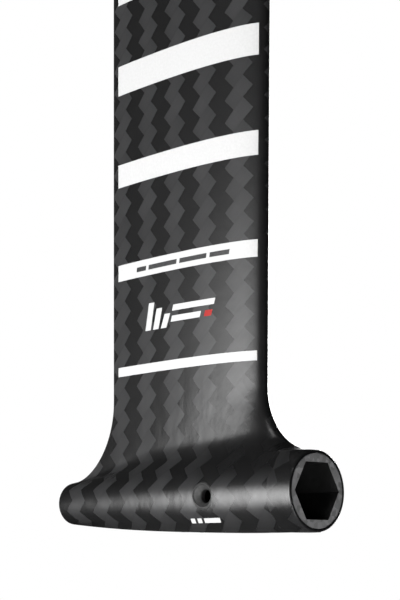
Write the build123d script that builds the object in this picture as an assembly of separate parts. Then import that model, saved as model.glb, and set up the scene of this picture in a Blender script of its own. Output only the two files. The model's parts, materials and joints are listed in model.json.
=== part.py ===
from build123d import *
import math
import os

# Hydrofoil mast hanging below a board: a carbon blade, moulded in one with a tubular foot that takes
# a hexagonal fuselage, and with the plate that bolts to the board. Millimetres, +X to the nose,
# +Y to port, +Z up. The origin is the middle of the board plate's upper face.

# Driving sizes
TOTAL_LENGTH = 795.0  # upper face of the plate to the underside of the foot
ROOT_CHORD = 108.0  # blade width where its lines meet the foot's axis
LEADING_LEAN = 0.0147  # forward lean of the leading edge, per mm of height
TRAILING_LEAN = 0.0117  # backward lean of the trailing edge, per mm of height
BLADE_THICKNESS = 15.5
TRAILING_THICKNESS = 0.8

FOOT_LENGTH = 173.0
FOOT_FRONT_RADIUS = 18.5
FOOT_REAR_RADIUS = 10.7
FOOT_TAPER_START = 56.0  # the foot is a plain cylinder in front of this x
FOOT_AXIS_DROP = 1.4  # how far the axis has sunk at the rear end
REAR_ROUNDING = 1.5
FOOT_STATIONS = (-62.0, -38.0, -14.0, 10.0, 34.0)  # sections along the foot's taper
SOCKET_FRONT_FLATS = 26.4  # hexagon across flats at the front mouth
SOCKET_REAR_FLATS = 13.6

FLARE_HEIGHT = 50.0  # above the foot's axis, where the blade's edges start to sweep out
FLARE_FRONT = (31.5, 32.2)  # half axes of the leading edge's sweep, along X and Z
FLARE_REAR = (34.0, 41.7)
FLARE_FRONT_ANGLES = (90, 80, 70, 58, 45, 30, 15, 0)  # where the flares are cut into sections
FLARE_REAR_ANGLES = (84, 72, 60)
SIDE_FILLET = 16.0
SIDE_FILLET_TOP = 24.6
SIDE_FILLET_DEPTH = 12.6  # below this the fillet is inside the foot

SKIN = 1.6  # laminate of the blade
FOOT_SKIN = 0.8
COLLAR_LENGTH = 14.0
CAP_THICKNESS = 1.4
SKINS_MEET = 4.0  # the skins touch over this length in front of the trailing edge
HOLLOW_TAIL = 0.2  # width of the space between the skins where they meet
ROOT_BLOCK_HEIGHT = 42.0

SCREW_RADIUS = 3.2  # clearance for an M6 screw
SEAT_RADIUS = 6.3  # mouth of the countersink
SEAT_DEPTH = SEAT_RADIUS - SCREW_RADIUS  # a 90 degree cone
SEAT_OUTER_RADIUS = 6.8
SIDE_SCREW_X = 29.0
SIDE_SCREW_DROP = 1.2
LOWER_SCREWS_X = {"rear": 4.0, "front": 54.0}

PLATE_LENGTH = 202.0
PLATE_WIDTH = 118.0
PLATE_THICKNESS = 10.0
PLATE_CORNER = 16.0
PLATE_EDGE = 3.0
FACE_PLY = 0.8
BLADE_COVER = 3.0  # plate left over the blade's upper end
BOLTS_X = 165.0
BOLTS_Y = 90.0
BOLT_SLOT_WIDTH = 8.5
BOLT_SLOT_LENGTH = 20.5
BOLT_HEAD_DEPTH = 4.2
ROOT_FILLET = 14.0
ROOT_FILLET_ANGLES = (12, 25, 42, 58, 75, 86)

STRIPE_COUNT = 11
STRIPE_FIRST = 63.0  # lower edge of the lowest stripe, above the foot's axis
STRIPE_PITCH = 50.17
STRIPE_HEIGHT = 4.74
STRIPE_GROWTH = 3.80  # each stripe is this much taller than the one below it
STRIPE_REAR_GAP = 4.6
STRIPE_FRONT_GAP = 3.0
FILM = 0.25  # thickness of the printed film

# The emblem: three slanted bars of falling height, then two lines, the lower one with an accent
EMBLEM_BARS = 3
BAR_START = -26.0
BAR_PITCH = 6.5
BAR_WIDTH = 4.5
BAR_LOW = 84.5
BAR_HIGH = 98.5
BAR_FALL = 3.5
BAR_LEAN = 3.0
LINE_LEAN = 1.0
UPPER_LINE = (-4.0, 27.0, 92.5, 95.5)  # rear end, front end, lower edge and upper edge
LOWER_LINE = (-5.0, 17.0, 87.0, 90.0)
ACCENT = (20.0, 25.0, 87.0, 90.0)

# Rows of blocks in place of printed words: start, block lengths, gap, lower edge and upper edge
SIZE_LINE = (-34.0, (8.0, 23.0, 20.0, 13.0), 2.3, 116.0, 118.4)
SCREW_PRINT = (17.0, (3.0, 3.0, 11.0), 1.7, -13.8, -11.6)

# Worked out from them
FOOT_AXIS = FOOT_FRONT_RADIUS - TOTAL_LENGTH
FOOT_END = FOOT_LENGTH / 2
PLATE_UNDERSIDE = -PLATE_THICKNESS
BLADE_TOP = -BLADE_COVER
BLOCK_BOTTOM = BLADE_TOP - ROOT_BLOCK_HEIGHT
SADDLE_TOP = FOOT_AXIS + FLARE_HEIGHT
WIDE = 60.0  # half width of a cutting slab, wider than anything but the plate

# Shares of the chord, from the trailing edge, where one filling meets the next
TAIL_CORE_FROM = 0.12
REAR_WEB_FROM = 0.38
MIDDLE_CORE_FROM = 0.41
FRONT_WEB_FROM = 0.66
NOSE_CORE_FROM = 0.69
NOSE_FILLER_FROM = 0.92
PAST_NOSE = 1.1


def leading_edge(z):
    return ROOT_CHORD / 2 + LEADING_LEAN * (z - FOOT_AXIS)


def trailing_edge(z):
    return -ROOT_CHORD / 2 - TRAILING_LEAN * (z - FOOT_AXIS)


def foil_share(s):
    """Half thickness of the foil as a share of its greatest, s of the way from nose to tail."""
    return 10 * (0.2969 * math.sqrt(s) - 0.126 * s - 0.3516 * s**2 + 0.2843 * s**3 - 0.1015 * s**4)


def half_foil(nose, tail, half_thickness, tail_half, z, steps=16):
    """The port half of a level foil section as a face, with a blunt tail."""
    squared_off = tail_half - half_thickness * foil_share(1)
    side = []
    for i in range(steps + 1):
        s = (1 + math.cos(math.pi * i / steps)) / 2
        y = half_thickness * foil_share(s) + squared_off * s
        side.append((nose + (tail - nose) * s, y, z))
    middle = Polyline((nose, 0, z), (tail, 0, z), (tail, tail_half, z))
    return Face(Wire([Spline(*side), *middle.edges()]))


def section(z, nose=0.0, tail=0.0, side=0.0, tail_half=TRAILING_THICKNESS / 2):
    """The port half of the blade's section at a height, grown at its nose, tail and side."""
    thickest = BLADE_THICKNESS / 2 + side
    return half_foil(leading_edge(z) + nose, trailing_edge(z) - tail, thickest, tail_half, z)


def swept_edge(height, half_axes):
    """How far an elliptical flare has carried an edge outward at a height above the foot's axis."""
    along, up = half_axes
    fall = min((FLARE_HEIGHT - height) / up, 1)
    return along * (1 - math.sqrt(1 - fall**2))


def side_growth(height):
    """How far the round fillet has carried the blade's side outward."""
    fall = min(max(SIDE_FILLET_TOP - height, 0), SIDE_FILLET_DEPTH)
    return SIDE_FILLET - math.sqrt(SIDE_FILLET**2 - fall**2)


def flare_heights(half_axes, angles):
    """Heights above the foot's axis at angles round a flare's ellipse."""
    return [FLARE_HEIGHT - half_axes[1] * math.sin(math.radians(angle)) for angle in angles]


def half_blade(inset=0.0, tail_inset=0.0, tail_half=TRAILING_THICKNESS / 2):
    """The port half of the blade, widening at its lower end to stop inside the foot."""
    heights = flare_heights(FLARE_REAR, FLARE_REAR_ANGLES) + flare_heights(FLARE_FRONT, FLARE_FRONT_ANGLES)
    sections = []
    for height in heights:
        nose = swept_edge(height, FLARE_FRONT) - inset
        tail = swept_edge(height, FLARE_REAR) - tail_inset
        grown = side_growth(height) - inset
        sections.append(section(FOOT_AXIS + height, nose, tail, grown, tail_half))
    sections.append(section(BLADE_TOP, -inset, -tail_inset, -inset, tail_half))
    return loft(sections, ruled=True)


def foot_taper(x):
    return (max(FOOT_TAPER_START - x, 0) / (FOOT_TAPER_START + FOOT_END)) ** 2


def foot_radius(x):
    return FOOT_FRONT_RADIUS - (FOOT_FRONT_RADIUS - FOOT_REAR_RADIUS) * foot_taper(x)


def foot_middle(x):
    return FOOT_AXIS - FOOT_AXIS_DROP * foot_taper(x)


def across_foot(x):
    """A plane across the foot with its local x to port and its local y up."""
    return Plane((x, 0, foot_middle(x)), x_dir=(0, 1, 0), z_dir=(1, 0, 0))


def half_foot(inset=0.0):
    """The port half of the foot as a solid bar, tapering to the rear."""
    stations = (-FOOT_END, *FOOT_STATIONS, FOOT_TAPER_START, FOOT_END)
    bar = loft([across_foot(x) * Circle(foot_radius(x) - inset) for x in stations])
    port_side = Pos(0, WIDE / 2, FOOT_AXIS) * Box(2 * FOOT_LENGTH, WIDE, WIDE)
    return bar & port_side


def hexagon_across(x, flats, z):
    return Plane((x, 0, z), x_dir=(0, 1, 0), z_dir=(1, 0, 0)) * RegularPolygon(flats / math.sqrt(3), 6)


def socket_space():
    """The tapered hexagonal hollow, run a little past both ends of the foot."""
    past = 2.0
    widening = past * (SOCKET_FRONT_FLATS - SOCKET_REAR_FLATS) / FOOT_LENGTH
    rear = hexagon_across(-FOOT_END - past, SOCKET_REAR_FLATS - widening, foot_middle(-FOOT_END))
    front = hexagon_across(FOOT_END + past, SOCKET_FRONT_FLATS + widening, FOOT_AXIS)
    return loft([rear, front], ruled=True)


def band(low_share, high_share, low, high):
    """A slab across the blade between two shares of its chord and two heights."""
    corners = []
    for z, shares in ((low, (low_share, high_share)), (high, (high_share, low_share))):
        chord = leading_edge(z) - trailing_edge(z)
        corners += [(trailing_edge(z) + share * chord, z) for share in shares]
    return extrude(Plane.XZ * make_face(Polyline(*corners, close=True)), WIDE, both=True)


def whole(half):
    """A port half joined to its mirror image across the middle plane."""
    return half + mirror(half, about=Plane.XZ)


def screw_line(x, side):
    """A plane on the foot's surface at a screw, with its normal pointing out of the foot."""
    if side:
        return Plane((x, -foot_radius(x), foot_middle(x) - SIDE_SCREW_DROP), z_dir=(0, -1, 0))
    return Plane((x, 0, foot_middle(x) - foot_radius(x)), z_dir=(0, 0, -1))


def screw_lines():
    lines = {"side_screw_seat": screw_line(SIDE_SCREW_X, True)}
    for name, x in LOWER_SCREWS_X.items():
        lines[f"{name}_lower_screw_seat"] = screw_line(x, False)
    return lines


def seat_plug(line):
    """The whole space of a screw seat, from inside the socket's hollow to past the foot's surface."""
    past = 2.0
    return line * Pos(0, 0, past - FOOT_FRONT_RADIUS / 2) * Cylinder(SEAT_OUTER_RADIUS, FOOT_FRONT_RADIUS)


def seat_hole(line):
    """The screw's clearance with its countersink, run past the foot's surface."""
    past = 2.0
    bore = Pos(0, 0, past - FOOT_FRONT_RADIUS / 2) * Cylinder(SCREW_RADIUS, FOOT_FRONT_RADIUS)
    cone = Pos(0, 0, -SEAT_DEPTH / 2) * Cone(SCREW_RADIUS, SEAT_RADIUS, SEAT_DEPTH)
    mouth = Pos(0, 0, past / 2) * Cylinder(SEAT_RADIUS, past)
    return line * (bore + cone + mouth)


def bolt_slot_cutters():
    """The four slots for the board bolts, each with a tapered recess for the heads."""
    slot = SlotOverall(BOLT_SLOT_LENGTH, BOLT_SLOT_WIDTH)
    widened = 2 * BOLT_HEAD_DEPTH
    mouth = SlotOverall(BOLT_SLOT_LENGTH + widened, BOLT_SLOT_WIDTH + widened)
    recess = loft([mouth, Pos(0, 0, BOLT_HEAD_DEPTH) * slot])
    cutter = Pos(0, 0, PLATE_UNDERSIDE) * (extrude(slot, PLATE_THICKNESS) + recess)
    corners = [(x * BOLTS_X / 2, y * BOLTS_Y / 2) for x in (-1, 1) for y in (-1, 1)]
    return [Pos(*corner) * cutter for corner in corners]


def root_fillet():
    """The port half of the rounded collar between the blade and the underside of the plate."""
    sections = []
    for angle in ROOT_FILLET_ANGLES:
        grown = ROOT_FILLET * (1 - math.cos(math.radians(angle)))
        z = PLATE_UNDERSIDE - ROOT_FILLET * (1 - math.sin(math.radians(angle)))
        sections.append(section(z, grown, grown, grown))
    sections.append(section(PLATE_UNDERSIDE, grown, grown, grown))
    return loft(sections, ruled=True)


def plate_blank():
    """The board plate before its slots and pocket, with its lower edges rounded."""
    outline = RectangleRounded(PLATE_LENGTH, PLATE_WIDTH, PLATE_CORNER)
    blank = Pos(0, 0, PLATE_UNDERSIDE) * extrude(outline, PLATE_THICKNESS)
    return fillet(blank.faces().sort_by(Axis.Z)[0].edges(), PLATE_EDGE)


def slanted_slab(rear, front, low, high, lean=0.0):
    """A slab across the blade, a parallelogram from the side. Heights are above the foot's axis."""
    corners = [
        (rear, FOOT_AXIS + low),
        (front, FOOT_AXIS + low),
        (front + lean, FOOT_AXIS + high),
        (rear + lean, FOOT_AXIS + high),
    ]
    return extrude(Plane.XZ * make_face(Polyline(*corners, close=True)), WIDE, both=True)


def word_slabs(start, lengths, gap, low, high):
    """A row of plain blocks of different lengths, in place of a line of print."""
    slabs = []
    for length in lengths:
        slabs.append(slanted_slab(start, start + length, low, high))
        start += length + gap
    return slabs


def grown_blade(grown):
    """The port half of the blade above its flare, grown evenly outward."""
    return loft([section(z, grown, grown, grown) for z in (SADDLE_TOP, BLADE_TOP)], ruled=True)


def printed_film(slabs, layer=1):
    """The parts of a thin film on the port side of the blade that lie within some slabs."""
    film = grown_blade(FILM * layer) - grown_blade(FILM * (layer - 1))
    return Compound(children=[solid for slab in slabs for solid in (film & slab).solids()])


def stripe_slab(k):
    """A slab that stops a little short of the blade's trailing and leading edges."""
    low = FOOT_AXIS + STRIPE_FIRST + STRIPE_PITCH * k
    high = low + STRIPE_HEIGHT + STRIPE_GROWTH * k
    corners = [
        (trailing_edge(low) + STRIPE_REAR_GAP, low),
        (leading_edge(low) - STRIPE_FRONT_GAP, low),
        (leading_edge(high) - STRIPE_FRONT_GAP, high),
        (trailing_edge(high) + STRIPE_REAR_GAP, high),
    ]
    return extrude(Plane.XZ * make_face(Polyline(*corners, close=True)), WIDE, both=True)


def prints():
    """The printed film on each side of the blade, and the print by the side screw."""
    bars = []
    for i in range(EMBLEM_BARS):
        rear = BAR_START + i * BAR_PITCH
        bars.append(slanted_slab(rear, rear + BAR_WIDTH, BAR_LOW, BAR_HIGH - i * BAR_FALL, BAR_LEAN))
    lines = [slanted_slab(*line, LINE_LEAN) for line in (UPPER_LINE, LOWER_LINE)]
    port_side = {
        "stripes": printed_film([stripe_slab(k) for k in range(STRIPE_COUNT)]),
        "emblem": printed_film(bars + lines),
        "emblem_accent": printed_film([slanted_slab(*ACCENT, LINE_LEAN)]),
        "size_line": printed_film(word_slabs(*SIZE_LINE), layer=2),
    }
    pieces = {f"port_{name}": film for name, film in port_side.items()}
    pieces |= {f"starboard_{name}": mirror(film, about=Plane.XZ) for name, film in port_side.items()}
    film = half_foot(-FILM) - half_foot()
    marks = [film & slab for slab in word_slabs(*SCREW_PRINT)]
    below_screw = Compound(children=[solid for mark in marks for solid in mark.solids()])
    pieces["foot_screw_print"] = mirror(below_screw, about=Plane.XZ)
    return pieces


def foot_pieces(foot, solid_foot):
    """The socket liner and the screw seats."""
    lines = screw_lines()
    hollow = socket_space()
    pieces = {"hex_socket_liner": solid_foot - hollow - [seat_plug(line) for line in lines.values()]}
    for name, line in lines.items():
        pieces[name] = (seat_plug(line) & foot) - hollow - seat_hole(line)
    return pieces


def fillings(hollow, cap_hollow):
    """The cores, webs, caps and edge fillers between the skins. The arguments are port halves."""

    def slab(rear_share, front_share):
        return band(rear_share, front_share, SADDLE_TOP, BLOCK_BOTTOM)

    cap = (hollow & slab(REAR_WEB_FROM, NOSE_CORE_FROM)) - cap_hollow
    return {
        "trailing_edge_filler": whole(hollow & slab(0, TAIL_CORE_FROM)),
        "tail_foam_core": whole(hollow & slab(TAIL_CORE_FROM, REAR_WEB_FROM)),
        "rear_shear_web": whole(cap_hollow & slab(REAR_WEB_FROM, MIDDLE_CORE_FROM)),
        "middle_foam_core": whole(cap_hollow & slab(MIDDLE_CORE_FROM, FRONT_WEB_FROM)),
        "front_shear_web": whole(cap_hollow & slab(FRONT_WEB_FROM, NOSE_CORE_FROM)),
        "nose_foam_core": whole(hollow & slab(NOSE_CORE_FROM, NOSE_FILLER_FROM)),
        "leading_edge_filler": whole(hollow & slab(NOSE_FILLER_FROM, PAST_NOSE)),
        "port_spar_cap": cap,
        "starboard_spar_cap": mirror(cap, about=Plane.XZ),
    }


def level_slab(low, high):
    return Pos(0, 0, (low + high) / 2) * Box(4 * WIDE, 2 * WIDE, high - low)


def plate_pieces(outer):
    """The board plate with its face ply, and the collar round the blade's root."""
    slots = bolt_slot_cutters()
    blank = plate_blank() - slots
    fillet_half = root_fillet() - outer
    return {
        "board_plate": (blank & level_slab(PLATE_UNDERSIDE, -FACE_PLY)) - whole(outer),
        "board_face_ply": blank & level_slab(-FACE_PLY, 0),
        "port_root_fillet": fillet_half,
        "starboard_root_fillet": mirror(fillet_half, about=Plane.XZ),
    }


def build():
    outer = half_blade()
    hollow = half_blade(SKIN, SKINS_MEET, HOLLOW_TAIL / 2)
    cap_hollow = half_blade(SKIN + CAP_THICKNESS, SKINS_MEET, HOLLOW_TAIL / 2)
    foot = half_foot()
    rear_rim = foot.edges().group_by(Axis.X)[0].sort_by(SortBy.LENGTH)[-1]
    foot = fillet(rear_rim, REAR_ROUNDING)
    solid_foot = half_foot(FOOT_SKIN) & foot
    plugs = [seat_plug(line) for line in screw_lines().values()]
    mouth = Pos(FOOT_END - COLLAR_LENGTH / 2, 0, FOOT_AXIS) * Box(COLLAR_LENGTH, WIDE, WIDE)
    collar = ((foot - solid_foot) & mouth) - outer
    shell = (outer + foot) - (hollow + solid_foot) - collar
    pieces = {
        "port_skin": shell - plugs,
        "starboard_skin": mirror(shell, about=Plane.XZ) - plugs,
        "front_collar_wrap": whole(collar),
        "foot_saddle": whole((hollow - solid_foot) & level_slab(FOOT_AXIS, SADDLE_TOP)),
        "root_block": whole(hollow & level_slab(BLOCK_BOTTOM, BLADE_TOP)),
    }
    pieces |= foot_pieces(whole(foot), whole(solid_foot))
    pieces |= fillings(hollow, cap_hollow)
    pieces |= plate_pieces(outer)
    pieces |= prints()
    return pieces


os.makedirs("parts", exist_ok=True)
for name, piece in build().items():
    export_step(piece, f"parts/{name}.step")
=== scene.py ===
import json
import math

import bmesh
import bpy
import numpy as np
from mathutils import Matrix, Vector


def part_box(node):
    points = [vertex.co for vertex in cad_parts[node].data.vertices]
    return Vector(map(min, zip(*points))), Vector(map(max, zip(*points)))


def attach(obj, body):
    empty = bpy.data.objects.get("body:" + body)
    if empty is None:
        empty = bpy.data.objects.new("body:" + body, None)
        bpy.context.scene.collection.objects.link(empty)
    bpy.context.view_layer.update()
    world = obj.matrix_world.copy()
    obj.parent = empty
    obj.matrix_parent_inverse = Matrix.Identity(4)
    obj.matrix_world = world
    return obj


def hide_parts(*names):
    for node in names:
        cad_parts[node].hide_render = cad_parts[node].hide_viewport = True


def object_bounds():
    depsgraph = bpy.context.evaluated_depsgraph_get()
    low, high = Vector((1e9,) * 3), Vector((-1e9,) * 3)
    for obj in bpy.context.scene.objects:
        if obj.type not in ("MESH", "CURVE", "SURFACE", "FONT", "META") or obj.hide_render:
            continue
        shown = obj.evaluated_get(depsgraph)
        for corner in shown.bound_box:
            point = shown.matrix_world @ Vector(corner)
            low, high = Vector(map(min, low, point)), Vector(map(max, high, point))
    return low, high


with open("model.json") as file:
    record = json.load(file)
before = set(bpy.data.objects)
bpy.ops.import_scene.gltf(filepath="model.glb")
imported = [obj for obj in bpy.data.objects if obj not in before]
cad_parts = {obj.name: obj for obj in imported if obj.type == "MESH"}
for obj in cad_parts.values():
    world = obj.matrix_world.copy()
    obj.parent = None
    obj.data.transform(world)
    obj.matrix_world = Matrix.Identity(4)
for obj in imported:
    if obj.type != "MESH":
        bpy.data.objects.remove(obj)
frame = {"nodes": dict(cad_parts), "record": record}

cad_low, cad_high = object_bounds()

# Sizes are in millimetres until a mesh is made. Heights are above the foot's axis.
MM = 0.001
mounts = {mount["name"]: mount for mount in frame["record"]["mounts"]}
FOOT_END, _, FOOT_AXIS = [c / MM for c in mounts["fuselage_socket"]["pos_m"]]
FOOT_LENGTH = 2 * FOOT_END
FRONT_RADIUS = FOOT_AXIS - cad_low.z / MM
REAR_RADIUS = 10.7
TAPER_START = 56.0
AXIS_DROP = 1.4

ROOT_CHORD = 108.0
LEADING_LEAN = 0.0147
TRAILING_LEAN = 0.0117
HALF_THICKNESS = 7.75
TAIL_HALF = 0.4
FLARE_TOP = 50.0
ROOT_FILLET = 14.0
PLATE_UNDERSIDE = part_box("board_plate")[0].z / MM - FOOT_AXIS
REAR_ROUNDING = 1.5
FRONT_ROUNDING = 0.4
FOOT_REAR = REAR_ROUNDING - FOOT_END
FOOT_FRONT = FOOT_END - FRONT_ROUNDING
FRONT_BLEND = 12.0  # reach of the round blend between the blade's side and the foot
REAR_BLEND = 7.0

SKIN = 1.6
FOOT_SKIN = 0.8
COLLAR_REAR = 73.3
SEAT_RADIUS = 6.3
SCREW_RADIUS = 3.2
SEAT_OUTER = 6.8
SIDE_SCREW = (29.0, -1.2)
LOWER_SCREWS = {"rear": 4.0, "front": 54.0}
TOW_WIDTH = 8.03
FILM_RISE = 0.05
SEAT_BOTTOM = 5.4
CUTTER_REACH = 5.0  # how far outside the foot a cutter starts

# Prints: the stripes, then an emblem of slanted bars and two lines, then rows of plain blocks
STRIPE_COUNT = 11
STRIPE_FIRST = 63.0
STRIPE_PITCH = 50.17
STRIPE_HEIGHT = 4.74
STRIPE_GROWTH = 3.80  # each stripe is this much taller than the one below it
STRIPE_REAR_GAP = 4.6
STRIPE_FRONT_GAP = 3.0
EMBLEM_BARS = 3
BAR_START = -26.0
BAR_PITCH = 6.5
BAR_WIDTH = 4.5
BAR_LOW = 84.5
BAR_HIGH = 98.5
BAR_FALL = 3.5
BAR_LEAN = 3.0
LINE_LEAN = 1.0
UPPER_LINE = (-4.0, 27.0, 92.5, 95.5)  # rear end, front end, lower edge and upper edge
LOWER_LINE = (-5.0, 17.0, 87.0, 90.0)
ACCENT = (20.0, 25.0, 87.0, 90.0)
WORD_LEAN = 0.4
SIZE_LINE = (-34.0, (8.0, 23.0, 20.0, 13.0), 2.3, 116.0, 118.4)  # start, lengths, gap, lower, upper
SCREW_PRINT = (17.0, (3.0, 3.0, 11.0), 1.7, -13.8, -11.6)


def share(s):
    """Half thickness of the foil as a share of its greatest, s of the way from nose to tail."""
    s = np.clip(s, 0, 1)
    return 10 * (0.2969 * np.sqrt(s) - 0.126 * s - 0.3516 * s**2 + 0.2843 * s**3 - 0.1015 * s**4)


def foot_taper(x):
    return (np.maximum(TAPER_START - x, 0) / (TAPER_START + FOOT_END)) ** 2


def foot_radius(x):
    return FRONT_RADIUS - (FRONT_RADIUS - REAR_RADIUS) * foot_taper(x)


def foot_middle(x):
    return -AXIS_DROP * foot_taper(x)


def foot_top(x):
    return foot_middle(x) + foot_radius(x)


# The flares: curves that carry the blade's two edges out to the ends of the foot
TURN = np.radians(np.linspace(0, 90, 181))
FRONT_FOOT = ROOT_CHORD / 2 + LEADING_LEAN * FLARE_TOP
REAR_FOOT = -ROOT_CHORD / 2 - TRAILING_LEAN * FLARE_TOP


def flare_points(turn, edge, end):
    """Points of a flare, from the end of the foot at turn 0 up to the blade's edge."""
    x = edge + (end - edge) * (1 - np.sin(turn))
    return x, foot_top(x) + (FLARE_TOP - foot_top(x)) * (1 - np.cos(turn))


FRONT_FLARE = flare_points(TURN, FRONT_FOOT, FOOT_FRONT)
REAR_FLARE = flare_points(TURN, REAR_FOOT, FOOT_REAR)


def nose_line(h):
    above = ROOT_CHORD / 2 + LEADING_LEAN * h
    return np.where(h < FLARE_TOP, np.interp(h, FRONT_FLARE[1], FRONT_FLARE[0]), above)


def tail_line(h):
    above = -ROOT_CHORD / 2 - TRAILING_LEAN * h
    return np.where(h < FLARE_TOP, np.interp(h, REAR_FLARE[1], REAR_FLARE[0]), above)


def blade_half(x, h):
    """Half thickness of the blade alone."""
    nose, tail = nose_line(h), tail_line(h)
    s = np.clip((nose - x) / (nose - tail), 0, 1)
    return HALF_THICKNESS * share(s) + (TAIL_HALF - HALF_THICKNESS * share(1)) * s


def side(x, h):
    """Half width of the whole laminate at a place seen from the side: blade and foot, blended."""
    blade = blade_half(x, h)
    radius, middle = foot_radius(x), foot_middle(x)
    along = np.clip((x + FOOT_END) / FOOT_LENGTH, 0, 1)
    reach = (REAR_BLEND + (FRONT_BLEND - REAR_BLEND) * along) * np.clip(blade / 5.0, 0.02, 1)
    low, high = np.zeros_like(blade), np.full_like(blade, 30.0)
    for _ in range(40):
        y = (low + high) / 2
        to_blade = y - blade
        to_foot = np.hypot(y, h - middle) - radius
        near = np.maximum(reach - np.abs(to_blade - to_foot), 0)
        inside = np.minimum(to_blade, to_foot) - near**2 / (4 * reach) < 0
        low, high = np.where(inside, y, low), np.where(inside, high, y)
    return (low + high) / 2


# The laminate's grid: columns run from tail to nose, rows from the keel of the foot up to the plate
COLUMNS = 120
CHORD_STEPS = (1 - np.cos(np.pi * np.arange(COLUMNS + 1) / COLUMNS)) / 2
FOOT_TURNS = np.radians(np.linspace(-90, 90, 61))
FLARE_TURNS = np.radians(np.linspace(0, 90, 31))[1:]
BLADE_HEIGHTS = np.linspace(FLARE_TOP, PLATE_UNDERSIDE, 45)[1:]
FILLET_TURNS = np.radians(np.linspace(10, 86, 12))
REAR_CAP = (0.47, 0.71, 0.92)  # places on the rear rounding, as shares of its radius
FRONT_CAP = ((0.5, 0.13), (0.87, 0.5), (1.0, 1.0))  # the same in front: how far along and how far in


def foot_row(turn, rear, front, steps):
    """Points along the foot at one turn from level, x and height, the side still to be found."""
    x = rear + (front - rear) * steps
    h = foot_middle(x) + foot_radius(x) * np.sin(turn)
    return np.stack([x, side(x, h), h], 1)


def flare_row(turn, rear, front, steps):
    x = rear + (front - rear) * steps
    h = foot_top(x) + (FLARE_TOP - foot_top(x)) * (1 - np.cos(turn))
    return np.stack([x, side(x, h), h], 1)


def foil_row(height):
    h = np.full(COLUMNS + 1, height)
    x = tail_line(h) + (nose_line(h) - tail_line(h)) * CHORD_STEPS
    return np.stack([x, blade_half(x, h), h], 1)


def drawn_in(points, share_left):
    """Points of the foot drawn in towards its middle line."""
    middle = np.stack([points[:, 0], 0 * points[:, 0], foot_middle(points[:, 0])], 1)
    return middle + (points - middle) * np.reshape(share_left, (-1, 1))


def rear_cap(end):
    """Columns that round off the skin's rear rim. The socket inside it is open to the rear."""
    points = []
    for out in REAR_CAP:
        radius = foot_radius(end[0])
        left = 1 - (1 - out) * REAR_ROUNDING / radius
        point = drawn_in(end[None], left)[0]
        point[0] = end[0] - REAR_ROUNDING * math.sqrt(1 - out**2)
        points.append(point)
    return points


def front_cap(end, rounding):
    """Columns that round off the front rim of the foot."""
    points = []
    for along, inward in FRONT_CAP:
        point = drawn_in(end[None], 1 - inward * rounding / FRONT_RADIUS)[0]
        point[0] = end[0] + rounding * along
        points.append(point)
    return points


def laminate_grid():
    """Points of the port half of the laminate, as rows of columns."""
    rows = []
    for turn in FOOT_TURNS:
        row = foot_row(turn, FOOT_REAR, FOOT_FRONT, CHORD_STEPS)
        rows.append(np.array([*rear_cap(row[0]), *row, *front_cap(row[-1], FRONT_ROUNDING)]))
    upper = []
    for turn in FLARE_TURNS:
        nose = flare_points(turn, FRONT_FOOT, FOOT_FRONT)[0]
        tail = flare_points(turn, REAR_FOOT, FOOT_REAR)[0]
        upper.append(flare_row(turn, tail, nose, CHORD_STEPS))
    upper += [foil_row(height) for height in BLADE_HEIGHTS]
    for row in upper:
        row[-1, 1] = 0
        tail_middle, nose = row[0] * (1, 0, 1), row[-1]
        rows.append(np.array([*[tail_middle] * len(REAR_CAP), *row, *[nose] * len(FRONT_CAP)]))
    rows[0][:, 1] = 0
    return np.array(rows)


def inner_grid(grid):
    """The laminate's inner face, a skin's thickness in."""
    inner = grid.copy()
    for r, row in enumerate(inner):
        if r < len(FOOT_TURNS):
            row[:] = drawn_in(row, 1 - FOOT_SKIN / foot_radius(row[:, 0]))
            row[:, 0] = np.maximum(row[:, 0], FOOT_REAR)
        else:
            tail, nose = row[0, 0], row[-1, 0]
            row[:, 0] = tail + SKIN + (row[:, 0] - tail) * (nose - tail - 2 * SKIN) / (nose - tail)
            row[:, 1] -= SKIN
    inner[:, :, 1] = np.maximum(inner[:, :, 1], 0.03)
    return inner


def weave_places(grid, start):
    """How far the cloth has run along and up to each point, in millimetres from the blade's middle."""
    steps = np.linalg.norm(np.diff(grid[:, :, :2], axis=1), axis=2)
    along = np.concatenate([np.zeros((len(grid), 1)), np.cumsum(steps, 1)], 1)
    middle = np.abs(grid[:, :, 0] - start).argmin(1)
    rows = np.arange(len(grid))
    along += (grid[rows, middle, 0] - along[rows, middle])[:, None]
    rises = np.linalg.norm(np.diff(grid[:, :, 1:], axis=0), axis=2)
    up = np.concatenate([np.zeros((1, grid.shape[1])), np.cumsum(rises, 0)], 0)
    level = min(len(FOOT_TURNS) + len(FLARE_TURNS), len(grid)) - 1
    up += grid[level, :, 2] - up[level]
    return np.stack([along, up], 2)


OUTER, EDGE = 0, 1


def shell(outer, inner, edge_columns=()):
    """A closed sheet between two grids: its points, faces and which face takes which finish."""
    rows, columns = outer.shape[:2]
    points = np.concatenate([outer.reshape(-1, 3), inner.reshape(-1, 3)])
    faces, finishes = [], []
    deep = rows * columns

    def face(*corners, finish=EDGE):
        faces.append(corners)
        finishes.append(finish)

    for r in range(rows - 1):
        for c in range(columns - 1):
            a = r * columns + c
            finish = EDGE if (c, r >= len(FOOT_TURNS)) in edge_columns else OUTER
            face(a, a + columns, a + columns + 1, a + 1, finish=finish)
            face(deep + a, deep + a + 1, deep + a + columns + 1, deep + a + columns)
    for c in range(columns - 1):
        low, high = c, (rows - 1) * columns + c
        face(low, low + 1, deep + low + 1, deep + low)
        face(high + 1, high, deep + high, deep + high + 1)
    for r in range(rows - 1):
        rear, front = r * columns, (r + 1) * columns - 1
        face(rear + columns, rear, deep + rear, deep + rear + columns)
        face(front, front + columns, deep + front + columns, deep + front)
    return points, faces, finishes


def in_metres(points):
    return (np.asarray(points) + (0, 0, FOOT_AXIS)) * MM


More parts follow.
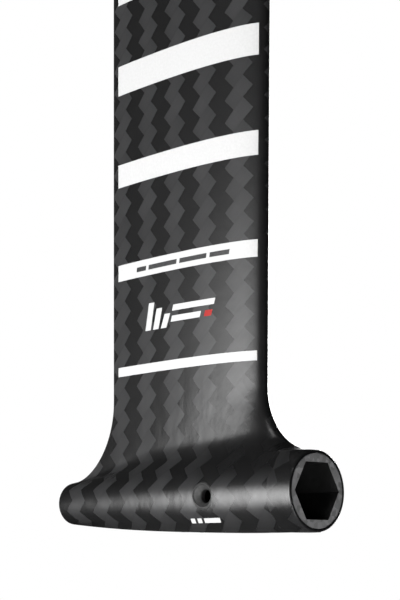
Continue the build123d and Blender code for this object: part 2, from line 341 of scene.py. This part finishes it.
def make_mesh(name, points, faces, finishes, weave=None):
    """A mesh on the port side from points in millimetres, with doubled points welded."""
    mesh = bpy.data.meshes.new(name)
    mesh.from_pydata(in_metres(points).tolist(), [], faces)
    mesh.polygons.foreach_set("material_index", finishes)
    if weave is not None:
        corner = np.zeros(len(mesh.loops), int)
        mesh.loops.foreach_get("vertex_index", corner)
        layer = mesh.uv_layers.new(name="weave")
        layer.data.foreach_set("uv", (weave[corner] / 10).ravel())
    build = bmesh.new()
    build.from_mesh(mesh)
    bmesh.ops.remove_doubles(build, verts=build.verts, dist=0.002 * MM)
    bmesh.ops.dissolve_degenerate(build, edges=build.edges, dist=0.001 * MM)
    bmesh.ops.recalc_face_normals(build, faces=build.faces)
    build.to_mesh(mesh)
    build.free()
    return mesh


def drill(mesh, cutters):
    """The mesh with round holes cut through it. A cutter is where it starts, its axis and its length."""
    for start, axis, length in cutters:
        build = bmesh.new()
        bmesh.ops.create_cone(
            build,
            cap_ends=True,
            segments=72,
            radius1=SEAT_OUTER * MM,
            radius2=SEAT_OUTER * MM,
            depth=length * MM,
        )
        tool_mesh = bpy.data.meshes.new("cutter")
        build.to_mesh(tool_mesh)
        build.free()
        tool_mesh.polygons.foreach_set("material_index", [EDGE] * len(tool_mesh.polygons))
        for target in (tool_mesh, mesh):
            while len(target.materials) < 2:
                target.materials.append(None)
        tool = bpy.data.objects.new("cutter", tool_mesh)
        tool.rotation_euler = Vector(axis).to_track_quat("Z", "Y").to_euler()
        tool.location = Vector(in_metres(start)) + Vector(axis) * (length / 2 * MM)
        body = bpy.data.objects.new("drilled", mesh)
        for o in (tool, body):
            bpy.context.scene.collection.objects.link(o)
        cut = body.modifiers.new("cut", "BOOLEAN")
        cut.object, cut.operation, cut.solver = tool, "DIFFERENCE", "EXACT"
        bpy.context.view_layer.update()
        mesh = bpy.data.meshes.new_from_object(body.evaluated_get(bpy.context.evaluated_depsgraph_get()))
        for o in (tool, body):
            bpy.data.objects.remove(o)
    return mesh


def shade(mesh):
    """Smooth shading over the outer face that runs on without a crease across the middle plane."""
    count = len(mesh.loops)
    corner = np.zeros(count, int)
    mesh.loops.foreach_get("vertex_index", corner)
    totals, finishes, areas = (np.zeros(len(mesh.polygons), kind) for kind in (int, int, float))
    mesh.polygons.foreach_get("loop_total", totals)
    mesh.polygons.foreach_get("material_index", finishes)
    mesh.polygons.foreach_get("area", areas)
    flat = np.zeros(len(mesh.polygons) * 3)
    mesh.polygons.foreach_get("normal", flat)
    normals = flat.reshape(-1, 3)
    of_loop = np.repeat(np.arange(len(mesh.polygons)), totals)
    outer = finishes[of_loop] == OUTER
    points = np.zeros(len(mesh.vertices) * 3)
    mesh.vertices.foreach_get("co", points)
    points = points.reshape(-1, 3)
    smooth = np.zeros_like(points)
    np.add.at(smooth, corner[outer], (normals * areas[:, None])[of_loop[outer]])
    smooth[np.abs(points[:, 1]) < 1e-7, 1] = 0
    smooth /= np.maximum(np.linalg.norm(smooth, axis=1, keepdims=True), 1e-12)
    custom = np.where(outer[:, None], smooth[corner], normals[of_loop])
    mesh.polygons.foreach_set("use_smooth", [True] * len(mesh.polygons))
    mesh.normals_split_custom_set(custom.tolist())


def mirrored(mesh):
    """The starboard twin of a port mesh."""
    twin = mesh.copy()
    build = bmesh.new()
    build.from_mesh(twin)
    for vertex in build.verts:
        vertex.co.y *= -1
    bmesh.ops.reverse_faces(build, faces=build.faces)
    build.to_mesh(twin)
    build.free()
    return twin


def place(name, mesh, materials, slot, replaced):
    """Puts a mesh in the scene as a piece that rides on the mast."""
    shade(mesh)
    mesh.materials.clear()
    for material in materials:
        mesh.materials.append(material)
    piece = bpy.data.objects.new(name, mesh)
    bpy.context.scene.collection.objects.link(piece)
    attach(piece, "root")
    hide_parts(*replaced)
    return piece


# Materials
def node(tree, kind, *inputs, **settings):
    """A new node with its settings made and its inputs filled, each a value or another node's output."""
    made = tree.nodes.new("ShaderNode" + kind)
    for name, value in settings.items():
        setattr(made, name, value)
    for socket, value in zip(made.inputs, inputs):
        if isinstance(value, bpy.types.NodeSocket):
            tree.links.new(value, socket)
        elif value is not None:
            socket.default_value = value
    return made


def maths(tree, operation, *inputs):
    return node(tree, "Math", *inputs, operation=operation).outputs[0]


def times(tree, *inputs):
    return maths(tree, "MULTIPLY", *inputs)


def mix_colours(tree, factor, low, high):
    made = tree.nodes.new("ShaderNodeMix")
    made.data_type = "RGBA"
    for socket, value in zip((made.inputs[0], made.inputs[6], made.inputs[7]), (factor, low, high)):
        if isinstance(value, bpy.types.NodeSocket):
            tree.links.new(value, socket)
        else:
            socket.default_value = value
    return made.outputs[2]


def grey(value):
    return (value, value, value * 1.03, 1.0)


def new_material(name, **constants):
    """A material with its shader's constants set, and the tree and shader to build on."""
    material = bpy.data.materials.new(name)
    material.use_nodes = True
    tree = material.node_tree
    shader = tree.nodes["Principled BSDF"]
    for socket, value in constants.items():
        shader.inputs[socket.replace("_", " ")].default_value = value
    return material, tree, shader


def noise(tree, vector, scale, detail=2.0, roughness=0.5):
    made = node(tree, "TexNoise", vector, noise_dimensions="3D")
    made.inputs["Scale"].default_value = scale
    made.inputs["Detail"].default_value = detail
    made.inputs["Roughness"].default_value = roughness
    return made.outputs["Fac"]


def spread(tree, value, low, high, to_low, to_high):
    made = node(tree, "MapRange", value, low, high, to_low, to_high)
    return made.outputs[0]


def bumped(tree, shader, height, strength, distance, socket="Normal"):
    made = tree.nodes.new("ShaderNodeBump")
    made.inputs["Strength"].default_value = strength
    made.inputs["Distance"].default_value = distance
    tree.links.new(height, made.inputs["Height"])
    tree.links.new(made.outputs[0], shader.inputs[socket])


def twill(
    name, place, turn=0.0, shifts=(0.0, 0.0), dark=0.004, light=0.026, coat_roughness=0.22, paint_shade=False
):
    """Wide flat tows of carbon laid over and under each other two by two, under a satin clear coat. Where
    the tows running one way lie on top they are painted paler, a painted sheen for the light their fibres
    catch; the carbon is the same black both ways.

    place is "weave" for a mesh that carries cloth places in centimetres, or the two row axes to use.
    When asked, the pale tows get painted shade: they are darkened over the front of the foot and under it.
    """
    material, tree, shader = new_material(
        name, Coat_Weight=0.9, Coat_Roughness=coat_roughness, Coat_IOR=1.5, Specular_IOR_Level=0.08
    )
    if place == "weave":
        at = node(tree, "UVMap", uv_map="weave").outputs[0]
        split = node(tree, "SeparateXYZ", at)
        along, up = split.outputs[0], split.outputs[1]
    else:
        at = node(tree, "TexCoord").outputs["Object"]
        split = node(tree, "SeparateXYZ", at)
        along, up = (times(tree, split.outputs[axis], 100.0) for axis in place)
    flat = node(tree, "CombineXYZ", along, up, 0.0).outputs[0]
    wander = maths(tree, "SUBTRACT", noise(tree, flat, 0.8, 1.0), 0.5)
    ragged = maths(tree, "SUBTRACT", noise(tree, flat, 9.0, 2.0), 0.5)
    step = math.sqrt(2) * TOW_WIDTH / 10
    cos, sin = math.cos(turn), math.sin(turn)
    turned_along = maths(tree, "SUBTRACT", times(tree, along, cos), times(tree, up, sin))
    turned_up = maths(tree, "ADD", times(tree, along, sin), times(tree, up, cos))
    rising = maths(tree, "DIVIDE", maths(tree, "ADD", turned_along, turned_up), step)
    falling = maths(tree, "DIVIDE", maths(tree, "SUBTRACT", turned_along, turned_up), step)
    loose = maths(tree, "ADD", times(tree, wander, 0.16), times(tree, ragged, 0.06))
    rising = maths(tree, "ADD", maths(tree, "ADD", rising, shifts[0]), loose)
    falling = maths(tree, "ADD", maths(tree, "ADD", falling, shifts[1]), times(tree, loose, -1.0))
    rising_tow, falling_tow = maths(tree, "FLOOR", rising), maths(tree, "FLOOR", falling)
    turn_of_four = maths(tree, "FLOORED_MODULO", maths(tree, "ADD", rising_tow, falling_tow), 4.0)
    on_top = maths(tree, "LESS_THAN", turn_of_four, 1.5)

    def choose(below, above):
        made = node(tree, "Mix", on_top, data_type="FLOAT")
        tree.links.new(below, made.inputs[2])
        tree.links.new(above, made.inputs[3])
        return made.outputs[0]

    across = choose(rising, falling)
    lengthwise = choose(falling, rising)
    tow = choose(maths(tree, "ADD", rising_tow, 57.0), falling_tow)
    fibre_place = node(
        tree, "CombineXYZ", times(tree, across, 24.0), times(tree, lengthwise, 0.7), tow
    ).outputs[0]
    fibres = noise(tree, fibre_place, 1.0, 3.0, 0.6)
    tow_tone = node(tree, "TexWhiteNoise", tow, noise_dimensions="1D")
    tree.links.new(tow, tow_tone.inputs["W"])
    cell = node(tree, "CombineXYZ", rising_tow, falling_tow, 0.0).outputs[0]
    cell_tone = node(tree, "TexWhiteNoise", cell, noise_dimensions="2D").outputs[0]
    # How far along its float each tow is, from 0 where it comes up to 1 where it dives
    second = maths(tree, "FLOORED_MODULO", turn_of_four, 2.0)
    part = times(tree, maths(tree, "ADD", maths(tree, "FRACT", lengthwise), second), 0.5)
    crown = maths(tree, "SINE", times(tree, part, math.pi))
    edge = maths(tree, "ABSOLUTE", maths(tree, "SUBTRACT", maths(tree, "FRACT", across), 0.5))
    flat_top = spread(tree, edge, 0.36, 0.5, 1.0, 0.0)
    # Painted shading: each tow's colour is paler at the crown of its float and darker towards its edges and
    # where it dives under, beside the bump that shapes it
    tone = maths(tree, "ADD", times(tree, fibres, 0.55), times(tree, tow_tone.outputs[0], 0.15))
    tone = maths(tree, "ADD", tone, times(tree, cell_tone, 0.16))
    tone = maths(tree, "ADD", tone, times(tree, crown, 0.14))
    tone = times(tree, tone, spread(tree, flat_top, 0.0, 1.0, 0.72, 1.0))
    # Painted sheen: the paler tows stand for the light caught by fibres laid one way, the darker for the
    # other; the carbon is the same black both ways
    sheen_dark_tow = mix_colours(tree, tone, grey(dark * 0.45), grey(dark * 1.7))
    sheen_lit_tow = mix_colours(tree, tone, grey(light * 0.5), grey(light * 1.45))
    shown = on_top
    # Painted shade: the pale tows are darkened low on the blade and over the top of the foot, most towards
    # the front, and under the foot
    if paint_shade:
        above_side = spread(tree, up, -0.4, 0.9, 0.1, 1)
        low_down = times(tree, spread(tree, up, 5.0, 3.0, 0, 1), above_side)
        forward = times(tree, spread(tree, along, 0.5, 3.5, 0.2, 0.9), low_down)
        painted_shade_share = maths(tree, "MAXIMUM", forward, spread(tree, up, -1.2, -2.2, 0.0, 0.6))
        shown = times(tree, on_top, maths(tree, "SUBTRACT", 1.0, painted_shade_share))
    colour = mix_colours(tree, shown, sheen_dark_tow, sheen_lit_tow)
    tree.links.new(colour, shader.inputs["Base Color"])
    rough = maths(tree, "ADD", spread(tree, on_top, 0.0, 1.0, 0.5, 0.4), times(tree, fibres, 0.14))
    tree.links.new(rough, shader.inputs["Roughness"])
    height = times(tree, maths(tree, "ADD", crown, flat_top), 0.5)
    height = maths(tree, "ADD", height, times(tree, fibres, 0.25))
    bumped(tree, shader, height, 0.35, 0.00012)
    # The clear coat lies flat over the blade and creases where the cloth turns down over the foot
    dimples = noise(tree, flat, 1.7, 3.0)
    drawn_out = node(tree, "VectorMath", flat, (1.6, 0.7, 1.0), operation="MULTIPLY").outputs[0]
    creases = noise(tree, drawn_out, 0.9, 4.0)
    near_foot = spread(tree, up, 7.5, 4.5, 0.0, 5.0)
    coat = maths(tree, "ADD", dimples, times(tree, creases, near_foot))
    bumped(tree, shader, coat, 0.12, 0.0004, "Coat Normal")
    return material


def grained(name, low, high, scale, stretch=(1, 1, 1), roughness=(0.45, 0.65), relief=0.00008, **constants):
    """A mottled or streaked material from noise in the row's own axes, scale in grains to the metre."""
    material, tree, shader = new_material(name, **constants)
    at = node(tree, "TexCoord").outputs["Object"]
    mapped = node(tree, "Mapping", at)
    mapped.inputs["Scale"].default_value = stretch
    coarse = noise(tree, mapped.outputs[0], scale, 4.0, 0.62)
    fine = noise(tree, mapped.outputs[0], scale * 6, 2.0)
    grain = maths(tree, "ADD", times(tree, coarse, 0.75), times(tree, fine, 0.25))
    evened = spread(tree, grain, 0.34, 0.66, 0.0, 1.0)
    tree.links.new(mix_colours(tree, evened, (*low, 1), (*high, 1)), shader.inputs["Base Color"])
    tree.links.new(spread(tree, grain, 0.3, 0.7, *roughness), shader.inputs["Roughness"])
    bumped(tree, shader, grain, 0.5, relief)
    return material


def flakes(name, low, high, scale, moulded=None, cut_from=None):
    """Forged carbon: short flat chips of tow lying every way, cut through and dull.

    Behind cut_from along the row's x, if that is given, it is smooth and moulded in its own darker tones.
    """
    material, tree, shader = new_material(name, Specular_IOR_Level=0.35)
    at = node(tree, "TexCoord").outputs["Object"]
    bent = noise(tree, at, scale * 0.8, 2.0)
    moved = node(tree, "VectorMath", at, None, operation="ADD")
    shift = times(tree, maths(tree, "SUBTRACT", bent, 0.5), 0.5 / scale)
    tree.links.new(shift, moved.inputs[1])
    cells = node(tree, "TexVoronoi", moved.outputs[0], feature="F1", voronoi_dimensions="3D")
    cells.inputs["Scale"].default_value = scale
    chip = node(tree, "SeparateColor", cells.outputs["Color"]).outputs[0]
    fine = noise(tree, at, scale * 9, 3.0)
    tone = maths(tree, "ADD", times(tree, chip, 0.6), times(tree, fine, 0.5))
    colour = mix_colours(tree, tone, (*low, 1), (*high, 1))
    if moulded:
        inside = mix_colours(tree, tone, (*moulded[0], 1), (*moulded[1], 1))
        cut = maths(tree, "GREATER_THAN", node(tree, "SeparateXYZ", at).outputs[0], cut_from)
        colour = mix_colours(tree, cut, inside, colour)
    tree.links.new(colour, shader.inputs["Base Color"])
    tree.links.new(spread(tree, tone, 0.0, 1.1, 0.5, 0.75), shader.inputs["Roughness"])
    bumped(tree, shader, tone, 0.4, 0.00006)
    return material


def ink(name, colour, faded):
    """Printed ink under the clear coat, a little uneven where it lies thin."""
    material, tree, shader = new_material(
        name, Coat_Weight=0.15, Coat_Roughness=0.25, Specular_IOR_Level=0.2
    )
    at = node(tree, "TexCoord").outputs["Object"]
    cover = noise(tree, at, 900.0, 3.0)
    tree.links.new(
        mix_colours(tree, spread(tree, cover, 0.3, 0.7, 0.0, 1.0), (*faded, 1), (*colour, 1)),
        shader.inputs["Base Color"],
    )
    tree.links.new(spread(tree, cover, 0.3, 0.7, 0.38, 0.5), shader.inputs["Roughness"])
    bumped(tree, shader, cover, 0.15, 0.00003)
    return material


ALONG, ACROSS = 0, 1
skin_twill = twill("carbon_twill", "weave", shifts=(1.96, -0.02), paint_shade=True)
collar_turn = math.radians(14)
collar_twill = twill("collar_twill", "weave", collar_turn, shifts=(0.9, 0.4), dark=0.005, light=0.015)
root_twill = twill("root_twill", "weave", shifts=(1.96, -0.02), coat_roughness=0.5)
plate_twill = twill("plate_twill", (ALONG, ACROSS), dark=0.005, light=0.022)
laminate_edge = grained(
    "laminate_edge", (0.008,) * 3, (0.028,) * 3, 500, (1, 1, 6), (0.5, 0.7), Specular_IOR_Level=0.35
)
forged = flakes("forged_carbon", (0.03,) * 3, (0.09,) * 3, 420)
cut_face = (FOOT_END - 0.2) * MM
liner_carbon = flakes(
    "liner_carbon", (0.1,) * 3, (0.34, 0.34, 0.345), 420, ((0.004,) * 3, (0.012,) * 3), cut_face
)
tow = grained("carbon_tow", (0.02,) * 3, (0.07,) * 3, 1500, (1, 1, 0.02), (0.4, 0.6), Anisotropic=0.4)
foam = grained("core_foam", (0.62, 0.52, 0.3), (0.82, 0.74, 0.5), 900, (1, 1, 1), (0.8, 0.95), 0.0002)
blackened = grained(
    "blackened_metal",
    (0.012,) * 3,
    (0.035,) * 3,
    700,
    (1, 1, 1),
    (0.38, 0.55),
    0.00003,
    Specular_IOR_Level=0.25,
)
white_ink = ink("white_print", (0.5, 0.5, 0.5), (0.46, 0.46, 0.46))
dark_ink = ink("dark_print", (0.02, 0.02, 0.022), (0.045, 0.045, 0.045))
red_ink = ink("red_print", (0.3, 0.006, 0.005), (0.25, 0.01, 0.007))

# The skins
grid = laminate_grid()
inner = inner_grid(grid)
weave = weave_places(grid, 0.0)
blunt = {(len(REAR_CAP) - 1, True)}
points, faces, finishes = shell(grid, inner, blunt)
places = np.concatenate([weave.reshape(-1, 2)] * 2)
port = make_mesh("port_skin_laminate", points, faces, finishes, places)
starboard = mirrored(port)
starboard.name = "starboard_skin_laminate"
outside_foot = FRONT_RADIUS + CUTTER_REACH
below = [((x, 0, foot_middle(x) - outside_foot), (0, 0, 1), FRONT_RADIUS) for x in LOWER_SCREWS.values()]
beside = ((SIDE_SCREW[0], -outside_foot, SIDE_SCREW[1]), (0, 1, 0), FRONT_RADIUS)
port = drill(port, below)
starboard = drill(starboard, [*below, beside])
place("port_skin_laminate", port, [skin_twill, laminate_edge], "carbon_twill", ["port_skin"])
place("starboard_skin_laminate", starboard, [skin_twill, laminate_edge], "carbon_twill", ["starboard_skin"])

# The plies wrapped round the front of the foot, with an uneven rear edge
WRAP_STEPS = np.linspace(0, 1, 29)
WRAP_RISE = 0.36
WRAP_SINK = 0.5
WRAP_ROUNDING = 0.5


def wrap_edge(run):
    """Where the wrap starts, run being how far round it is from the keel, in radians."""
    return COLLAR_REAR - 0.8 + 0.7 * math.sin(3.1 * run + 0.5) + 0.4 * math.sin(9.3 * run)


def wrap_grids():
    outside, inside = [], []
    for turn in FOOT_TURNS:
        row = foot_row(turn, wrap_edge(turn + math.pi / 2), FOOT_FRONT, WRAP_STEPS)
        rise = WRAP_RISE / foot_radius(row[:, 0])
        out = drawn_in(row, 1 + rise)
        rim = front_cap(out[-1], WRAP_ROUNDING)
        deep = drawn_in(row, 1 - WRAP_SINK / FRONT_RADIUS)
        outside.append(np.array([*out, *rim]))
        inside.append(np.array([*deep, *[deep[-1] + (at[0] - deep[-1][0], 0, 0) for at in rim]]))
    for turn in FLARE_TURNS:
        nose = flare_points(turn, FRONT_FOOT, FOOT_FRONT)[0]
        edge = wrap_edge(turn + math.pi)
        if edge > nose - 1:
            break
        row = flare_row(turn, edge, nose, WRAP_STEPS)
        row[-1, 1] = 0
        fade = np.linspace(1, 0, len(row)) ** 0.3
        out = row + np.stack([WRAP_RISE * (1 - fade), WRAP_RISE * fade, 0 * fade], 1)
        deep = row - np.stack([WRAP_SINK * (1 - fade), WRAP_SINK * fade, 0 * fade], 1)
        out[-1, 1] = 0
        outside.append(np.array([*out, *[out[-1]] * len(FRONT_CAP)]))
        inside.append(np.array([*deep, *[deep[-1]] * len(FRONT_CAP)]))
    outside, inside = np.array(outside), np.array(inside)
    outside[0][:, 1] = 0
    inside[:, :, 1] = np.maximum(inside[:, :, 1], 0.03)
    return outside, inside


outside, inside = wrap_grids()
points, faces, finishes = shell(outside, inside)
places = np.concatenate([weave_places(outside, 83.0).reshape(-1, 2)] * 2)
wrap_port = make_mesh("wrap", points, faces, finishes, places)
wrap_starboard = mirrored(wrap_port)
for name, mesh in (("port_collar_wrap", wrap_port), ("starboard_collar_wrap", wrap_starboard)):
    place(name, mesh, [collar_twill, laminate_edge], "carbon_twill", ["front_collar_wrap"])


# The rounded collars between the blade and the plate
def fillet_grids():
    outside, inside = [], []
    for turn in FILLET_TURNS:
        row = foil_row(PLATE_UNDERSIDE - ROOT_FILLET * (1 - math.sin(turn)))
        along = np.gradient(row[:, :2], axis=0)
        outward = np.stack([-along[:, 1], along[:, 0]], 1)
        outward /= np.linalg.norm(outward, axis=1, keepdims=True)
        outward[0], outward[-1] = (-0.7, 0.7), (1, 0)
        grown = row.copy()
        grown[:, :2] += outward * ROOT_FILLET * (1 - math.cos(turn))
        sunk = row.copy()
        sunk[:, 1] = np.maximum(sunk[:, 1] - 0.3, 0.03)
        tail = grown[0] * (1, 0, 1)
        outside.append(np.array([tail, *grown]))
        inside.append(np.array([sunk[0] * (1, 0, 1) + (0, 0.03, 0), *sunk]))
    outside = np.array(outside)
    outside[:, -1, 1] = 0
    return outside, np.array(inside)


outside, inside = fillet_grids()
points, faces, finishes = shell(outside, inside)
places = np.concatenate([weave_places(outside, 0.0).reshape(-1, 2)] * 2)
fillet_port = make_mesh("fillet", points, faces, finishes, places)
fillet_starboard = mirrored(fillet_port)
for name, mesh in (("port", fillet_port), ("starboard", fillet_starboard)):
    place(f"{name}_root_collar", mesh, [root_twill, laminate_edge], "carbon_twill", [f"{name}_root_fillet"])

# Printed films, each a thin closed sheet that follows the surface under it
FILM_DEPTH = 0.15


def film_grids(rear, front, low, high, columns, rows):
    """A patch between two slanting ends, each given as x at the lower and at the upper edge."""
    up = np.linspace(0, 1, rows)[:, None]
    steps = (1 - np.cos(np.pi * np.linspace(0, 1, columns))) / 2
    start, end = (ends[0] + (ends[1] - ends[0]) * up for ends in (rear, front))
    x = start + (end - start) * steps
    h = low + (high - low) * up + 0 * x
    return x, h


def film(x, h, rise=FILM_RISE):
    surface = side(x.ravel(), h.ravel()).reshape(x.shape)
    outer = np.stack([x, surface + rise, h], 2)
    sunk = np.stack([x, np.maximum(surface - FILM_DEPTH, 0.03), h], 2)
    return shell(outer, sunk)


def joined(sheets):
    """Several closed sheets as one set of points, faces and finishes."""
    points, faces, finishes = [], [], []
    for more_points, more_faces, more_finishes in sheets:
        first = sum(len(p) for p in points)
        points.append(more_points)
        faces += [tuple(first + corner for corner in face) for face in more_faces]
        finishes += more_finishes
    return np.concatenate(points), faces, finishes


def stripe(k):
    low = STRIPE_FIRST + STRIPE_PITCH * k
    high = low + STRIPE_HEIGHT + STRIPE_GROWTH * k
    rear = [float(tail_line(np.array(h))) + STRIPE_REAR_GAP for h in (low, high)]
    front = [float(nose_line(np.array(h))) - STRIPE_FRONT_GAP for h in (low, high)]
    return film(*film_grids(rear, front, low, high, 49, 4 + 2 * (k // 3)))


def slanted(rear, front, low, high, lean=0.0, rise=FILM_RISE):
    return film(*film_grids((rear, rear + lean), (front, front + lean), low, high, 9, 5), rise)


def words(start, lengths, gap, low, high, rise=FILM_RISE):
    """A row of plain blocks of different lengths, in place of a line of print."""
    sheets = []
    for length in lengths:
        sheets.append(slanted(start, start + length, low, high, WORD_LEAN, rise))
        start += length + gap
    return sheets


bars = []
for bar in range(EMBLEM_BARS):
    start = BAR_START + BAR_PITCH * bar
    bars.append(slanted(start, start + BAR_WIDTH, BAR_LOW, BAR_HIGH - BAR_FALL * bar, BAR_LEAN))
lines = [slanted(*line, LINE_LEAN) for line in (UPPER_LINE, LOWER_LINE)]
PRINTS = {
    "stripes": (joined([stripe(k) for k in range(STRIPE_COUNT)]), white_ink, "white_print"),
    "emblem": (joined(bars + lines), white_ink, "white_print"),
    "emblem_accent": (slanted(*ACCENT, LINE_LEAN), red_ink, "red_print"),
    "size_line": (joined(words(*SIZE_LINE, rise=2 * FILM_RISE)), dark_ink, "dark_print"),
}
for kind, (sheet, ink_used, slot_name) in PRINTS.items():
    port_print = make_mesh(kind, *sheet)
    for name, mesh in (("port", port_print), ("starboard", mirrored(port_print))):
        place(f"{name}_{kind}_film", mesh, [ink_used, ink_used], slot_name, [f"{name}_{kind}"])
below_screw = mirrored(make_mesh("below_screw", *joined(words(*SCREW_PRINT))))
place("foot_screw_print_film", below_screw, [white_ink, white_ink], "white_print", ["foot_screw_print"])


# The countersunk screw seats, each turned round its own axis and trimmed by the foot's surface
def keel(x, y):
    return foot_middle(x) - np.sqrt(foot_radius(x) ** 2 - y**2)


def seat(middle, to_side):
    """A seat's points and faces: a mouth that follows the foot's surface, then a straight cone and bore."""
    turns = np.linspace(0, 2 * np.pi, 73)[:-1]
    x0, other0 = middle

    def surface(radius):
        x, other = x0 + radius * np.cos(turns), other0 + radius * np.sin(turns)
        if to_side:
            return x, other, side(x, other)
        return x, other, -keel(x, other)

    top = surface(0.0 * turns)[2]
    rim = np.full_like(turns, SEAT_RADIUS)
    for _ in range(30):
        rim = SEAT_RADIUS - (top - surface(rim)[2])
    rings = []

    def ring(radius, out):
        x, other, _ = surface(radius + 0 * turns)
        if to_side:
            rings.append(np.stack([x, -(out + 0 * turns), other], 1))
        else:
            rings.append(np.stack([x, other, -(out + 0 * turns)], 1))

    for radius, rise in ((SEAT_OUTER - 0.01, -0.4), (SEAT_OUTER - 0.01, 0.0), (SEAT_OUTER - 0.1, 0.07)):
        ring(radius, surface(radius + 0 * turns)[2] + rise)
    for wider, rise in ((0.16, 0.07), (0.05, 0.04), (0.0, -0.03)):
        ring(rim + wider, surface(rim + wider)[2] + rise)
    for level in (0.25, 0.5, 0.75):
        radius = rim + (SCREW_RADIUS - rim) * level
        for ledge in (0.0, 0.3):
            ring(radius - ledge, top - (SEAT_RADIUS - radius) - 0.03)
    depth = SEAT_RADIUS - SCREW_RADIUS
    for inward in (depth + 0.15, depth + 1.2, SEAT_BOTTOM):
        ring(SCREW_RADIUS, top - inward)
    ring(SEAT_OUTER - 0.01, top - SEAT_BOTTOM)
    count = len(turns)
    faces = []
    for r in range(len(rings)):
        here, below_it = r * count, (r + 1) % len(rings) * count
        for c in range(count):
            after = (c + 1) % count
            faces.append((here + c, here + after, below_it + after, below_it + c))
    return np.concatenate(rings), faces, [EDGE] * len(faces)


SEATS = {"side_screw_seat": (SIDE_SCREW, True)}
SEATS |= {f"{name}_lower_screw_seat": ((x, 0.0), False) for name, x in LOWER_SCREWS.items()}
for name, (middle, to_side) in SEATS.items():
    points, faces, finishes = seat(middle, to_side)
    mesh = make_mesh(name, points, faces, finishes)
    place(f"{name}_turned", mesh, [blackened, blackened], "seat_metal", [name])
    mesh.polygons.foreach_set("material_index", [0] * len(mesh.polygons))
    mesh.shade_smooth()
    mesh.set_sharp_from_angle(angle=math.radians(35))

# Finishes of the pieces kept as they come
FINISHES = {
    plate_twill: ["board_plate", "board_face_ply"],
    liner_carbon: ["hex_socket_liner"],
    forged: ["foot_saddle", "root_block"],
    tow: ["port_spar_cap", "starboard_spar_cap", "front_shear_web", "rear_shear_web"],
    foam: ["nose_foam_core", "middle_foam_core", "tail_foam_core"],
}
FINISHES[tow] += ["leading_edge_filler", "trailing_edge_filler"]
for material, names in FINISHES.items():
    for name in names:
        mesh = frame["nodes"][name].data
        mesh.materials.clear()
        mesh.materials.append(material)

# Camera
camera = bpy.data.objects.new("camera", bpy.data.cameras.new("camera"))
bpy.context.scene.collection.objects.link(camera)
camera.location = (0.6305, -0.6048, -0.8130)
camera.rotation_euler = Vector((-0.70814, 0.68942, 0.15241)).to_track_quat("-Z", "Y").to_euler()
camera.data.lens = 105.5
camera.data.clip_start, camera.data.clip_end = 0.01, 100
bpy.context.scene.camera = camera

# Light
def softbox(name, place_at, aim_at, size, power):
    """A rectangular lamp with soft edges, aimed at a point."""
    lamp = bpy.data.lights.new(name, "AREA")
    lamp.shape = "RECTANGLE"
    lamp.size, lamp.size_y = size
    lamp.energy = power
    lamp.use_nodes = True
    tree = lamp.node_tree
    glow = tree.nodes["Emission"]
    place_on = node(tree, "SeparateXYZ", node(tree, "NewGeometry").outputs["Parametric"])
    edges = []
    for way in (0, 1):
        from_edge = maths(tree, "SINE", times(tree, place_on.outputs[way], math.pi))
        edges.append(maths(tree, "POWER", maths(tree, "MAXIMUM", from_edge, 0.0), 1.5))
    strength = times(tree, times(tree, *edges), 3.2)
    tree.links.new(strength, glow.inputs["Strength"])
    holder = bpy.data.objects.new(name, lamp)
    holder.location = place_at
    holder.visible_camera = False
    holder.rotation_euler = (Vector(aim_at) - Vector(place_at)).to_track_quat("-Z", "Y").to_euler()
    bpy.context.scene.collection.objects.link(holder)


softbox("key", (-0.32, -1.05, -0.98), (0, 0, -0.74), (2.1, 1.25), 36)
softbox("fill", (0.3, -1.6, 1.2), (0, 0, -0.6), (1.0, 1.0), 5)
softbox("front", (1.3, -0.5, -1.5), (0, 0, -0.75), (1.3, 1.3), 13)
softbox("far", (-0.8, 1.5, -0.5), (0, 0, -0.5), (0.8, 1.4), 26)

# Floor and surroundings: white to the camera, dimmer to the mast
def white_to_camera(tree, colour, strength, shader_kind):
    """A shader that is plain white when seen directly, and otherwise a given tone."""
    seen = node(tree, "LightPath").outputs["Is Camera Ray"]
    if shader_kind == "world":
        away = node(tree, "Background", colour, strength).outputs[0]
        plain = node(tree, "Background", (1, 1, 1, 1), 1.0).outputs[0]
    else:
        away = node(tree, "BsdfDiffuse", colour).outputs[0]
        plain = node(tree, "Emission", (1, 1, 1, 1), 1.0).outputs[0]
    return node(tree, "MixShader", seen, away, plain).outputs[0]


world = bpy.data.worlds.new("studio")
bpy.context.scene.world = world
world.use_nodes = True
world.node_tree.nodes.clear()
world_out = world.node_tree.nodes.new("ShaderNodeOutputWorld")
world.node_tree.links.new(
    white_to_camera(world.node_tree, (1, 1, 1, 1), 0.03, "world"), world_out.inputs["Surface"]
)
FLOOR_LEVEL = -2.0
FLOOR_HALF = 30.0
floor_mesh = bpy.data.meshes.new("floor")
corners = [(x * FLOOR_HALF, y * FLOOR_HALF, FLOOR_LEVEL) for x, y in ((-1, -1), (1, -1), (1, 1), (-1, 1))]
floor_mesh.from_pydata(corners, [], [(0, 1, 2, 3)])
floor = bpy.data.objects.new("floor", floor_mesh)
bpy.context.scene.collection.objects.link(floor)
floor_material = bpy.data.materials.new("floor")
floor_material.use_nodes = True
floor_material.node_tree.nodes.clear()
floor_out = floor_material.node_tree.nodes.new("ShaderNodeOutputMaterial")
floor_material.node_tree.links.new(
    white_to_camera(floor_material.node_tree, (0.1, 0.1, 0.1, 1), None, "floor"), floor_out.inputs["Surface"]
)
floor_mesh.materials.append(floor_material)
bpy.context.scene.view_settings.view_transform = "Standard"
